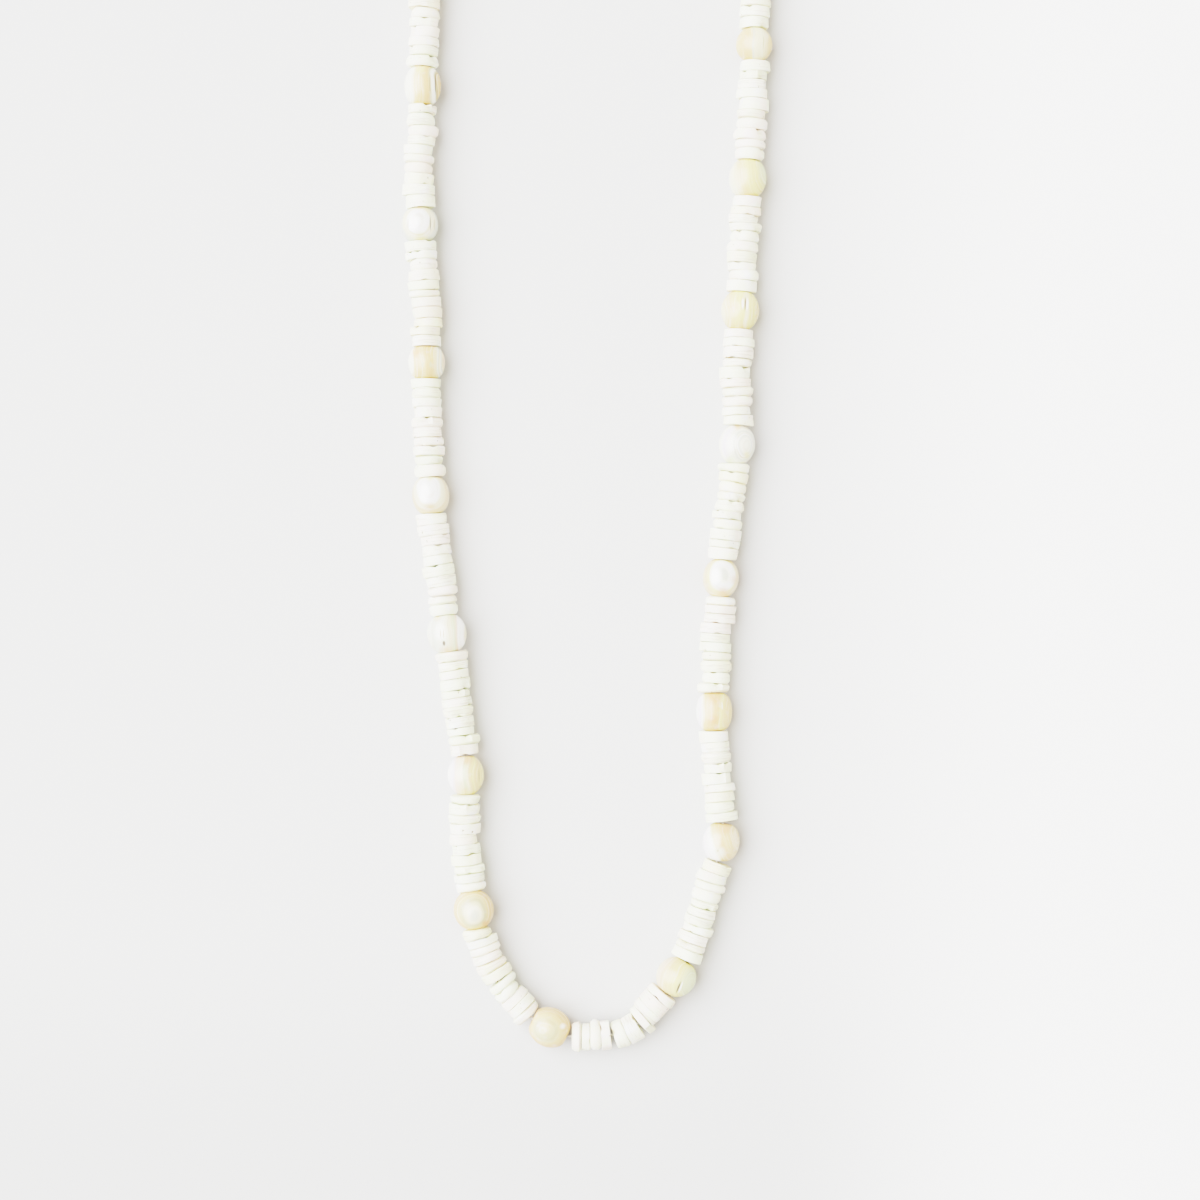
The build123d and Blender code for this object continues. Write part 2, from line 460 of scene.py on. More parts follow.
def is_rim(edge):
    """Whether an edge lies on the outer rim of one of the ends."""
    outer = all(span(vert.co) > DISC_RADIUS * NEARLY for vert in edge.verts)
    return outer and abs(edge.verts[0].co.z - edge.verts[1].co.z) < WELD


def is_end(face):
    """Whether a face belongs to one of the flat ends."""
    return abs(face.normal.z) > NEARLY


def model_plain_disc(wear):
    """A drilled disc with its rim worn this far, standing on its hole at the origin."""
    bpy.ops.object.select_all(action="DESELECT")
    bpy.ops.mesh.primitive_cylinder_add(
        vertices=DISC_SIDES, radius=DISC_RADIUS, depth=DISC_THICKNESS, end_fill_type="NGON")
    disc = bpy.context.active_object
    bpy.ops.object.mode_set(mode="EDIT")
    pick(disc, "FACE", is_end)
    bpy.ops.mesh.inset(thickness=DISC_RADIUS - HOLE_RADIUS)
    bpy.ops.mesh.bridge_edge_loops()
    pick(disc, "EDGE", is_rim)
    bpy.ops.mesh.bevel(offset=wear, segments=1, affect="EDGES")
    pick(disc, "FACE", is_end)
    bpy.ops.mesh.dissolve_limited(angle_limit=ONE_PLANE)
    bpy.ops.object.mode_set(mode="OBJECT")
    return disc


plain_discs = [model_plain_disc(wear) for wear in DISC_WEAR]
print("one disc has", len(plain_discs[0].data.polygons), "faces")

# %% Wear a dozen of them differently
DISC_KINDS = 12
DISC_DENT = 0.13  # how far a side may sit in, as a share of the radius
DENT_OVAL = 0.35  # the part of a dent that makes the disc an oval
DENT_CHANCE = 0.6  # the most that chance adds to it at a side
DISC_TAPER = 0.06  # how much narrower one face may be than the other
DISC_WAVE = 0.04 * MM  # how far the edge of a face may dip
WAVE_COUNTS = (2, 3, 5)  # how often it dips on the way round
CHIP_COUNTS = (0, 1, 2, 3)
CHIP_DEPTH = 0.55 * MM
CHIP_LEAST = 0.5  # the smallest chip, as a share of the deepest
CHIP_DROP = CHIP_DEPTH / 3  # how far a chip goes down into the thickness
SIDE_SHARE = 0.7  # the rim lies further out than this share of the radius
OUTER_SHARE = 0.5  # and the hole further in than this one
chance = random.Random(11)


def own_copy(piece):
    """A copy of a piece, with a mesh of its own."""
    copied = piece.copy()
    copied.data = piece.data.copy()
    scene.collection.objects.link(copied)
    return copied


def select_only(pieces):
    """Selects these pieces and nothing else, the first of them active."""
    bpy.ops.object.select_all(action="DESELECT")
    for piece in pieces:
        piece.select_set(True)
    bpy.context.view_layer.objects.active = pieces[0]


def side_at(number):
    """How far round the hole one side of a disc is, and the direction out to it."""
    turn = math.tau * (number + 0.5) / DISC_SIDES
    return turn, Vector((math.cos(turn), math.sin(turn), 0))


def at_side(vert, out):
    """Whether a rim vertex lies in this direction from the hole."""
    flat = Vector((vert.co.x, vert.co.y, 0))
    outside = flat.length > DISC_RADIUS * SIDE_SHARE
    return outside and out.angle(flat) < math.pi / DISC_SIDES / 2


def move_side(disc, out, shift, face=0):
    """Moves the rim on one side of a disc: that of its upper or lower face, or of both for 0."""
    pick(disc, "VERT", lambda vert: at_side(vert, out) and (not face or vert.co.z * face > 0))
    bpy.ops.transform.translate(value=shift)


def wear_disc(number):
    """A copy of a plain disc with its own outline, chips and taper."""
    disc = own_copy(plain_discs[number % len(plain_discs)])
    disc.name = f"disc_kind_{number:02d}"
    select_only([disc])
    bpy.ops.object.mode_set(mode="EDIT")
    wave = chance.uniform(0, math.tau)
    dips = {face: (chance.uniform(0, math.tau), chance.choice(WAVE_COUNTS)) for face in (-1, 1)}
    for side in range(DISC_SIDES):
        turn, out = side_at(side)
        dent = DENT_OVAL * (1 + math.sin(2 * turn + wave)) + chance.uniform(0, DENT_CHANCE)
        move_side(disc, out, -out * DISC_RADIUS * DISC_DENT * dent)
        for face, (start, times) in dips.items():
            dip = DISC_WAVE * (1 + math.sin(times * turn + start)) / 2
            move_side(disc, out, (0, 0, -face * dip), face)
    for chip in range(chance.choice(CHIP_COUNTS)):
        turn, out = side_at(chance.randrange(DISC_SIDES))
        face = chance.choice((-1, 1))
        inwards = -out * CHIP_DEPTH * chance.uniform(CHIP_LEAST, 1)
        move_side(disc, out, inwards - Vector((0, 0, face * CHIP_DROP)), face)
    narrow = 1 - chance.uniform(0, DISC_TAPER)
    pick(disc, "VERT", lambda vert: vert.co.z > 0 and span(vert.co) > DISC_RADIUS * OUTER_SHARE)
    bpy.ops.transform.resize(value=(narrow, narrow, 1), center_override=(0, 0, 0))
    bpy.ops.object.mode_set(mode="OBJECT")
    return disc


disc_kinds = [wear_disc(number) for number in range(DISC_KINDS)]
for plain in plain_discs:
    bpy.data.objects.remove(plain)
print(len(disc_kinds), "kinds of worn disc")

# %% [markdown]
# ## Stringing the discs
#
# Every disc of the frame gets one of the worn discs, scaled to its own width and turned about
# the thread by chance. Its hole is wider than the thread, so it may slip a little to one side.
#
# The solids keep a tenth of a millimetre between them, and the real discs are pressed together.
# Moved together, they would leave their places in the frame. So each worn disc grows half way to
# the next, and where two lean nearly the same way, its face slants until they meet. Where they
# lean apart, the wedge stays open, as on the real string. The discs of one run are joined to one
# piece, because they are one node of the frame.
#
# Two attributes go with each vertex, for the finish: where it was on the loose disc, so that
# the layers of the shell follow the disc however it leans, and three chance numbers, which make
# one disc creamier, more lined, or rosier or greener than the next.

# %% Press them together
WEDGE = math.radians(6)  # two discs that lean apart by more than this keep their wedge
WEDGE_PRESS = 0.1 * MM  # how far a disc grows into such a wedge
BEAD_SPACE = 0.03 * MM  # left free in front of a bead
DISC_LIMIT = 2 * DISC_THICKNESS  # what is longer is a bead or the clasp
GROUND_TOGETHER = ("shell_disc_run_11", 4)  # this disc meets the next, though they lean apart


def press(solid, other, ground):
    """How far one end of a disc grows, and the direction that its face then looks in."""
    room = (other["centre"] - solid["centre"]).length - (solid["length"] + other["length"]) / 2
    if solid["axis"].angle(other["axis"]) > WEDGE and not ground:
        return min(room / 2, WEDGE_PRESS), solid["axis"]
    if other["length"] < DISC_LIMIT:
        return room / 2, (solid["axis"] + other["axis"]).normalized()
    return max(room - BEAD_SPACE, 0.0), other["axis"]


def press_run(name, solids):
    """Gives each disc of a run the growth and the facing of both its ends."""
    place = run_names.index(name)
    before = beads[bead_names[place - 1]] if place > 0 else clasp_solid
    after = beads[bead_names[place]] if place < len(bead_names) else clasp_solid
    line = [before, *solids, after]
    for number, solid in enumerate(solids):
        solid["high"] = press(solid, line[number + 2], (name, number) == GROUND_TOGETHER)
        solid["low"] = press(solid, line[number], (name, number - 1) == GROUND_TOGETHER)


for name, solids in runs.items():
    press_run(name, solids)
pressed = [disc["high"][0] / MM for disc in all_discs]
print("discs grow by", round(min(pressed), 2), "to", round(max(pressed), 2), "mm at an end")

# %% String them
SIDE_SLIP = 0.18 * MM  # how far a disc may sit off the thread, its hole being wider
SHELL_SHARP = math.radians(50)  # sharper edges than this show as edges
string_chance = random.Random(23)


def keep_numbers(mesh, name, numbers):
    """Stores a vector for each vertex as an attribute."""
    kept = mesh.attributes.new(name, "FLOAT_VECTOR", "POINT")
    kept.data.foreach_set("vector", np.asarray(numbers, dtype=np.float32).ravel())


def slant(corners, end, facing, turn):
    """Moves the corners of one end along the hole until its face looks in a direction."""
    way = turn.inverted() @ facing
    if way.z < 0:
        way = -way
    chosen = corners[:, 2] * end > 0
    rise = (corners[chosen, 0] * way.x + corners[chosen, 1] * way.y) / way.z
    corners[chosen, 2] -= rise


def string_disc(solid):
    """A copy of one of the worn discs in the place of this solid."""
    disc = own_copy(string_chance.choice(disc_kinds))
    corners = np.array([vert.co for vert in disc.data.vertices])
    lot = [string_chance.random() for _ in range(3)]
    keep_numbers(disc.data, "shell_place", corners)
    keep_numbers(disc.data, "shell_lot", np.tile(lot, (len(corners), 1)))
    (grow_high, face_high), (grow_low, face_low) = solid["high"], solid["low"]
    wide = solid["radius"] / DISC_RADIUS
    thick = (solid["length"] + grow_high + grow_low) / DISC_THICKNESS
    spin = Matrix.Rotation(string_chance.uniform(0, math.tau), 3, "Z")
    facing = string_chance.choice((Matrix.Identity(3), Matrix.Rotation(math.pi, 3, "X")))
    corners = corners @ np.array(Matrix.Diagonal((wide, wide, thick)) @ spin @ facing).T
    turn = solid["axis"].to_track_quat("Z", "Y")
    slant(corners, 1, face_high, turn)
    slant(corners, -1, face_low, turn)
    disc.data.vertices.foreach_set("co", corners.astype(np.float32).ravel())
    slip = turn @ Vector([string_chance.uniform(-SIDE_SLIP, SIDE_SLIP) for _ in range(2)] + [0])
    slip.z = abs(slip.z)  # a disc that slips down would go into the table
    middle_at = solid["centre"] + solid["axis"] * (grow_high - grow_low) / 2 + slip
    disc.matrix_world = Matrix.LocRotScale(middle_at, turn, None)
    return disc


def string_run(name, solids):
    """The worn discs of one run, as one piece that replaces the run's node."""
    discs = [string_disc(solid) for solid in solids]
    bpy.context.view_layer.update()
    select_only(discs)
    bpy.ops.object.transform_apply()
    bpy.ops.object.join()
    bpy.ops.object.shade_smooth_by_angle(angle=SHELL_SHARP)
    run = discs[0]
    even = run.modifiers.new("even", "WEIGHTED_NORMAL")
    even.keep_sharp = True
    bpy.ops.object.modifier_apply(modifier=even.name)
    run.name = f"worn_{name}"
    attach(run, "root")
    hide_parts(name)
    return run


worn_runs = [string_run(name, solids) for name, solids in runs.items()]
for kind in disc_kinds:
    bpy.data.objects.remove(kind)
print(len(all_discs), "discs strung in", len(worn_runs), "runs")

# %% [markdown]
# ## The white shell
#
# The shell is matte and nearly white. It grew in thin layers, and the discs are cut along them,
# so fine lines run round the rim, strong on some discs and hardly there on others. Towards the
# faces where the discs meet, the tone turns a shade creamier: painted warm shade in the gaps
# between them. A few discs are creamier, rosier or greener all over, the same faint tints drift
# across the others, and here and there a worm has left a small pit.
#
# The pattern could be painted. Noise that is squeezed flat along the disc's own axis gives the
# layers, with no seam at any side.

# %% Finish the discs
SHELL_WHITE = (0.955, 0.945, 0.74, 1)
SHELL_COOL = (0.93, 0.925, 0.90, 1)
# This cream is the discs' own cream and also the painted warm shade towards the faces.
SHELL_CREAM_AND_SHADE = (0.90, 0.79, 0.44, 1)
SHELL_LINE = (0.60, 0.54, 0.42, 1)
SHELL_ROSE = (0.95, 0.79, 0.72, 1)
SHELL_GREEN = (0.86, 0.91, 0.64, 1)
SHELL_PIT = (0.33, 0.27, 0.17, 1)
SHELL_BODY = {
    "Roughness": 0.58, "Subsurface Weight": 0.4,
    "Subsurface Radius": (1.0, 0.85, 0.65), "Subsurface Scale": 1.0 * MM,
}
SHELL_RELIEF = (0.06 * MM, 0.8)  # its depth and its strength
LAYER_RELIEF = 0.5  # how much of it the layers have, beside the pits
# How many clouds of each pattern a millimetre holds, and how far apart in them the discs are.
LAYER_GRAIN = (0.3, 0.3, 6.0)
CLOUD_GRAIN = 0.5
TINT_GRAIN = 0.35
PIT_GRAIN = 2.4
DISCS_APART = 40.0
# The values of a pattern, or of a disc's own chance, at which a tone starts and stops growing,
# and how much of it there is before and after, if that isn't none and all.
PIT_STEP = (0.72, 0.79)
COOL_STEP = (0.52, 0.3)
LINE_STEP = (0.52, 0.62)
LINED_DISC = (0.2, 0.9, 0.1, 0.65)
CREAM_CLOUD = (0.5, 0.8, 0.0, 0.35)
CREAM_DISC = (0.65, 1.0, 0.0, 0.6)
# Painted warm shade towards the faces where the discs meet, for the shade in the gaps:
GAP_SHADE_STEP = (0.42, 0.72, 0.0, 0.1)  # in millimetres from the middle of the rim
ROSE_CLOUD = (0.52, 0.66, 0.0, 0.6)
ROSE_DISC = (0.6, 1.0, 0.0, 0.7)
GREEN_CLOUD = (0.48, 0.34, 0.0, 0.6)
GREEN_DISC = (0.4, 0.0, 0.0, 0.7)


def shell_finish():
    """Matte white shell with layers along the disc's axis."""
    finish, tree, shader = new_finish("white_shell_finish", SHELL_BODY)
    own, lot = (node(tree, "Attribute", attribute_name=name).outputs["Vector"]
                for name in ("shell_place", "shell_lot"))
    creamy, lined, tinted = parted(tree, lot)
    here = scaled(tree, own, 1 / MM)
    height = maths(tree, "ABSOLUTE", parted(tree, here)[2])
    spread = vectors(tree, "ADD", here, scaled(tree, lot, DISCS_APART))
    layers = grain(tree, vectors(tree, "MULTIPLY", spread, LAYER_GRAIN), 1.0, roughness=0.6)
    clouds = grain(tree, spread, CLOUD_GRAIN)
    tints = grain(tree, spread, TINT_GRAIN, detail=1.0, seed=9.0)
    pits = step(tree, grain(tree, spread, PIT_GRAIN, detail=1.0, seed=4.0), *PIT_STEP)
    # Cream from the disc's own chance and the clouds, and painted shade towards its faces, where
    # it meets the next disc.
    cream_and_gap_shade = most(tree, step(tree, height, *GAP_SHADE_STEP), step(tree, creamy, *CREAM_DISC),
                step(tree, clouds, *CREAM_CLOUD))
    rosy = most(tree, step(tree, tints, *ROSE_CLOUD), step(tree, tinted, *ROSE_DISC))
    green = most(tree, step(tree, tints, *GREEN_CLOUD), step(tree, tinted, *GREEN_DISC))
    lines = maths(tree, "MULTIPLY", step(tree, layers, *LINE_STEP),
                  step(tree, lined, *LINED_DISC))
    cool = step(tree, clouds, *COOL_STEP)
    tone = coated(tree, SHELL_WHITE, (cool, SHELL_COOL), (cream_and_gap_shade, SHELL_CREAM_AND_SHADE), (rosy, SHELL_ROSE),
                  (green, SHELL_GREEN), (lines, SHELL_LINE), (pits, SHELL_PIT))
    relief = maths(tree, "SUBTRACT", maths(tree, "MULTIPLY", layers, LAYER_RELIEF), pits)
    cover(tree, shader, tone, relief, *SHELL_RELIEF)
    return finish


white_shell = shell_finish()
for run in worn_runs:
    dress(run, white_shell)
print("discs finished with", white_shell.name)

# %% [markdown]
# ## Mother of pearl
#
# Each bead was cut through the layers of one shell, so it has flat bands of amber, cream, white
# and grey-green, seen edge-on in one bead and face-on, as rings, in the next. Where the cut
# meets a layer at a low angle the band grows wide, and thin brown lines show between bands. The
# white in the bands is partly the shell's own white and partly painted sheen, where the layers lie
# flat under the surface.
#
# One wood-like pattern for all the beads would look printed. Here every bead names the direction
# across its layers, the tones from one side to the other, and its own spots and cracks. The
# place on the bead, in bead radii, times that direction gives how far across the layers a point
# is, and a ramp of colours turns that into a tone.

# %% Name the tones
TONES = {
    # White is the shell's own white, and also painted sheen and painted highlights on the beads.
    "white": (0.96, 0.95, 0.91, 1),
    "pale": (0.87, 0.86, 0.71, 1),
    "grey": (0.62, 0.64, 0.53, 1),
    "lilac": (0.77, 0.70, 0.80, 1),
    "cream": (0.80, 0.73, 0.47, 1),
    "pink": (0.78, 0.60, 0.42, 1),
    "olive": (0.56, 0.51, 0.29, 1),
    "green": (0.64, 0.69, 0.40, 1),
    "yellow": (0.78, 0.69, 0.29, 1),
    "amber": (0.73, 0.56, 0.27, 1),
    "honey": (0.70, 0.47, 0.22, 1),
    "orange": (0.72, 0.38, 0.18, 1),
    "brown": (0.46, 0.33, 0.17, 1),
    "line": (0.14, 0.11, 0.07, 1),
}
print(len(TONES), "tones of the shell")

# %% Describe each bead
# way is the direction across the layers, as seen from above. bands are places across them, from
# -1 to 1, with the tone at each; their white is partly the shell's own and partly painted sheen.
# A spot is x, y, reach and tone. A crack is x and y of both its ends, width and tone. round says
# how far a bead is from a barrel to a ball. gloss is how strongly its layers mirror the lamp: most
# where they lie flat under the surface.
LOOKS = {
    1: dict(
        way=(0.8, 0.3), round=0.6, spots=[(0.2, 0.6, 0.4, "honey")],
        bands={-1: "pale", -0.3: "cream", 0.1: "amber", 0.5: "white", 1: "pale"}),
    2: dict(
        way=(0.1, 0.2), round=0.5, spots=[(-0.4, -0.5, 0.4, "yellow")],
        bands={-1: "amber", 0.5: "amber", 0.7: "cream", 0.85: "white", 1: "white"}),
    3: dict(
        way=(1, 0), round=0.5, spots=[(-0.1, 0.75, 0.4, "yellow")],
        bands={-1: "pale", -0.5: "pale", -0.35: "amber", 0.3: "honey", 0.4: "olive", 0.48: "pale",
               0.6: "white", 0.68: "olive", 0.74: "brown", 0.82: "amber", 0.95: "honey"},
        cracks=[(0.44, 0.7, 0.46, -0.7, 0.04, "brown"), (0.71, 0.7, 0.73, -0.7, 0.04, "line")]),
    4: dict(
        way=(-0.05, 0.12), round=0.5, gloss=1.0,
        bands={-1: "green", 0.3: "grey", 0.55: "cream", 0.78: "cream", 0.84: "white", 1: "white"},
        spots=[(0.0, 0.95, 0.3, "orange"), (0.1, -0.8, 0.45, "yellow")],
        cracks=[(0.6, 0.55, 0.63, -0.55, 0.045, "line"), (0.82, 0.4, 0.82, -0.5, 0.05, "olive"),
                (-0.58, 0.3, -0.57, -0.4, 0.04, "brown")]),
    5: dict(
        way=(1, 0), round=0.35, spots=[(-0.5, 0.45, 0.4, "orange")],
        bands={-1: "pale", -0.8: "pale", -0.68: "amber", -0.5: "honey", -0.2: "amber",
               0.1: "honey", 0.4: "amber", 0.56: "cream", 0.62: "pale", 0.67: "grey",
               0.72: "cream", 0.8: "pale", 0.84: "grey", 0.88: "cream", 0.96: "pink"},
        cracks=[(-0.14, 0.05, -0.16, -0.4, 0.09, "olive"),
                (0.27, 0.05, 0.26, -0.4, 0.08, "olive")]),
    6: dict(
        way=(-0.12, 0.23), round=0.5, gloss=1.0,
        bands={-1: "amber", 0.45: "amber", 0.62: "cream", 0.74: "cream", 0.8: "pale",
               0.86: "white", 1: "white"},
        spots=[(0.0, -0.75, 0.5, "honey"), (0.0, 0.92, 0.3, "yellow")]),
    7: dict(
        way=(1, 0), round=0.7, gloss=0.6,
        bands={-1: "pale", -0.6: "grey", -0.1: "pale", 0.2: "cream", 0.36: "green", 0.48: "pink",
               0.56: "white", 0.85: "white", 0.95: "cream"},
        spots=[(-0.45, 0.85, 0.35, "amber"), (0.0, -0.9, 0.45, "honey")],
        cracks=[(-0.1, -0.3, -0.08, -0.66, 0.1, "line"), (-0.26, 0.3, -0.26, -0.3, 0.05, "brown"),
                (-0.1, 0.3, -0.11, -0.3, 0.05, "brown")]),
    8: dict(
        way=(1, 0), round=0.9, gloss=0.4,
        bands={-1: "white", -0.7: "lilac", -0.5: "pink", -0.1: "cream", 0: "green", 0.15: "cream",
               0.3: "amber", 0.45: "yellow", 0.6: "amber", 0.95: "yellow"},
        spots=[(0.1, 0.85, 0.4, "orange"), (0.0, -0.85, 0.35, "amber")],
        cracks=[(0.74, 0.5, 0.76, -0.5, 0.04, "brown")]),
    9: dict(
        way=(0, 0), round=0.9, spots=[(0.6, -0.6, 0.25, "orange")],
        bands={-1: "amber", 0.5: "honey", 0.65: "amber", 0.8: "olive", 0.92: "cream", 1: "grey"}),
    # Its small white spot at the right is a painted highlight.
    10: dict(
        way=(-0.1, 0), round=0.6, spots=[(-0.15, 0.2, 0.6, "amber"), (0.66, 0.17, 0.2, "white")],
        bands={-1: "honey", 0.5: "honey", 0.68: "amber", 0.82: "olive", 1: "olive"}),
    # The white line beside its crack is a painted highlight.
    11: dict(
        way=(0.8, -0.3), round=0.9,
        bands={-1: "cream", -0.4: "pink", 0: "amber", 0.5: "yellow", 0.8: "green"},
        cracks=[(0.24, 0.0, -0.06, -0.8, 0.06, "line"),
                (0.34, -0.02, 0.06, -0.78, 0.05, "white")]),
    12: dict(
        way=(0.92, 0.3), round=0.6, gloss=0.5,
        bands={-1: "lilac", -0.45: "white", -0.35: "white", -0.25: "cream", -0.15: "amber",
               0.2: "honey", 0.5: "amber", 1: "amber"},
        spots=[(0.2, 0.75, 0.5, "orange"), (-0.1, -0.5, 0.45, "pale"),
               (0.1, -0.97, 0.25, "honey")],
        cracks=[(-0.2, -0.3, -0.24, -0.5, 0.07, "olive")]),
    # Its white edge at the left is a painted highlight on the side that faces the lamp.
    13: dict(
        way=(1, 0), round=0.35, spots=[(-0.1, 0.7, 0.4, "orange"), (-0.1, -0.4, 0.4, "orange")],
        bands={-1: "white", -0.85: "lilac", -0.74: "pale", -0.64: "amber", -0.35: "honey",
               0.2: "honey", 0.35: "yellow", 0.6: "amber", 0.95: "amber"},
        cracks=[(0.38, 0.6, 0.42, 0.1, 0.05, "pale")]),
    14: dict(
        way=(0.02, 0.08), round=0.8, gloss=1.0,
        bands={-1: "honey", 0.52: "amber", 0.63: "yellow", 0.74: "white", 0.92: "white",
               0.97: "pale", 1: "grey"},
        spots=[(0.1, -0.85, 0.5, "orange"), (0.8, -0.1, 0.45, "honey")]),
    15: dict(
        way=(0.52, -0.1), round=0.9, gloss=0.5,
        bands={-1: "pale", -0.2: "pale", 0.2: "lilac", 0.6: "pale", 0.78: "grey", 0.82: "pale",
               0.86: "olive", 0.89: "white", 0.94: "grey", 1: "pale"},
        spots=[(0.5, -0.6, 0.3, "yellow"), (-0.4, -0.85, 0.4, "green"), (0, 0.97, 0.3, "honey")]),
    16: dict(
        way=(1, 0), round=0.8, spots=[(-0.4, 0.1, 0.4, "honey"), (0.0, -0.85, 0.4, "amber")],
        bands={-1: "cream", -0.5: "amber", -0.1: "yellow", 0.1: "yellow", 0.26: "cream",
               0.42: "yellow", 0.8: "yellow", 1: "amber"},
        cracks=[(0.1, 0.65, 0.08, -0.1, 0.08, "white"), (0.36, 0.65, 0.3, -0.2, 0.08, "white"),
                (0.24, 0.75, 0.2, -0.25, 0.055, "line")]),
    17: dict(
        way=(0.9, 0.2), round=0.5,
        bands={-1: "pale", -0.4: "cream", 0.0: "amber", 0.4: "yellow", 0.7: "yellow", 1: "green"}),
    18: dict(
        way=(1, 0), round=0.8,
        bands={-1: "amber", -0.5: "honey", -0.22: "amber", -0.14: "grey", -0.06: "cream",
               0.4: "cream", 0.75: "amber", 1: "honey"},
        cracks=[(0.45, 0.5, 0.46, -0.5, 0.04, "olive")]),
    19: dict(
        way=(0.9, -0.3), round=0.7, spots=[(-0.3, 0.6, 0.4, "honey")],
        bands={-1: "white", -0.4: "cream", -0.1: "amber", 0.4: "yellow", 0.6: "white", 1: "pale"}),
    20: dict(
        way=(0.1, -0.1), round=0.5, spots=[(0.5, 0.5, 0.4, "yellow")],
        bands={-1: "cream", 0.4: "amber", 0.6: "amber", 0.75: "white", 1: "lilac"}),
}
print(sum(len(look["bands"]) for look in LOOKS.values()), "bands on", len(LOOKS), "beads")

# %% [markdown]
# ## The beads
#
# The beads are turned from the thick part of a pearl shell: short drilled barrels with rounded
# ends, polished by tumbling, so that they are smooth but not exact. Some wore down nearly to a
# ball.
#
# A ball could be scaled and its hole cut out afterwards. A half outline spun round the hole, as
# on a lathe, gives the hole and the ends in one go. The outline comes from the solid, drawn in
# towards a ball as far as the bead is worn. A faint cloud pattern then pushes the surface in and
# out by a few hundredths of a millimetre.

# %% Spin a piece round its hole
TURNS = 48
TURNED_SHARP = math.radians(35)  # sharper edges than this show as edges


def weld():
    """Merges the corners that lie in one place, on the piece in edit mode."""
    bpy.ops.mesh.select_all(action="SELECT")
    bpy.ops.mesh.remove_doubles(threshold=WELD)


def turn_piece(name, outline, solid):
    """Spins a closed half outline round the hole, and puts the piece where its solid is."""
    bpy.ops.object.select_all(action="DESELECT")
    bpy.ops.mesh.primitive_plane_add(size=MM)
    piece = bpy.context.active_object
    piece.name = name
    bpy.ops.object.mode_set(mode="EDIT")
    bpy.ops.mesh.select_mode(type="VERT")
    bpy.ops.mesh.select_all(action="SELECT")
    bpy.ops.mesh.merge(type="CENTER")
    corners = [Vector((reach, 0, height)) for reach, height in outline]
    bpy.ops.transform.translate(value=corners[0])
    for here, there in zip(corners, corners[1:] + corners[:1]):
        bpy.ops.mesh.extrude_region_move(TRANSFORM_OT_translate={"value": there - here})
    weld()
    bpy.ops.mesh.spin(steps=TURNS, angle=math.tau, center=(0, 0, 0), axis=(0, 0, 1))
    weld()
    bpy.ops.mesh.normals_make_consistent()
    bpy.ops.object.mode_set(mode="OBJECT")
    turn = solid["axis"].to_track_quat("Z", "Y")
    piece.matrix_world = Matrix.LocRotScale(solid["centre"], turn, None)
    bpy.ops.object.transform_apply()
    bpy.ops.object.shade_smooth_by_angle(angle=TURNED_SHARP)
    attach(piece, "root")
    return piece


# %% Turn the beads
HOLE_CHAMFER = 0.18 * MM
BALL_END = 0.91  # a ball is cut flat round its hole at this share of its half length
OUTLINE_DIGITS = 2  # heights that agree to so many digits of a millimetre are one ring
TUMBLED_CLOUD = 2.6 * MM
TUMBLED_DEPTH = 0.07 * MM
TUMBLED_MIDDLE = 0.8  # the cloud tone that moves nothing, so that most of it goes inwards


def worn_outline(solid, share):
    """Radius and height of each ring of a solid, drawn in towards a ball by this share."""
    rings = {}
    for height, reach in solid["outline"]:
        key = round(float(height) / MM, OUTLINE_DIGITS)
        rings[key] = max(rings.get(key, 0.0), float(reach))
    half = solid["length"] / 2
    worn = []
    for key, reach in sorted(rings.items()):
        height = key * MM
        ball = solid["radius"] * math.sqrt(1 - (BALL_END * height / half) ** 2)
        worn.append((reach + min(0.0, ball - reach) * share, height))
    return worn


def turn_bead(name):
    """A polished barrel with a chamfered hole."""
    solid = beads[name]
    rings = worn_outline(solid, LOOKS[int(name[-2:])]["round"])
    hole = solid["hole"]
    low, high = rings[0][1], rings[-1][1]
    outline = [(hole, low + HOLE_CHAMFER), (hole + HOLE_CHAMFER, low)] + rings
    outline += [(hole + HOLE_CHAMFER, high), (hole, high - HOLE_CHAMFER)]
    bead = turn_piece(f"polished_{name}", outline, solid)
    uneven = bead.modifiers.new("uneven", "DISPLACE")
    uneven.texture = tumbled
    uneven.texture_coords = "GLOBAL"
    uneven.strength = TUMBLED_DEPTH
    uneven.mid_level = TUMBLED_MIDDLE
    bpy.ops.object.modifier_apply(modifier=uneven.name)
    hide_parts(name)
    return bead


tumbled = bpy.data.textures.new("tumbled", "CLOUDS")
tumbled.noise_scale = TUMBLED_CLOUD
polished = {name: turn_bead(name) for name in bead_names}
print(len(polished), "beads turned")

# %% Tools for bands, spots and cracks
SPOT_SOFT = 0.9  # the share of a spot in which it fades out
SPOT_SHARE = 0.8  # how much of its own tone it has
CRACK_SOFT = 0.6
CRACK_SHARE = 0.95
PATCH_DEPTH = 1000.0  # in bead radii: a patch goes right through the bead


def patch(tree, place, middle_at, reach, turn, soft, share=1.0):
    """This share inside an ellipse on the bead, seen from above, fading to 0 at its edge."""
    inputs = {
        "Vector": place, "Location": (*middle_at, 0), "Rotation": (0, 0, turn),
        "Scale": (*reach, PATCH_DEPTH),
    }
    inside = node(tree, "Mapping", inputs, vector_type="TEXTURE").outputs[0]
    return step(tree, vectors(tree, "LENGTH", inside), 1.0, 1.0 - soft, 0.0, share)


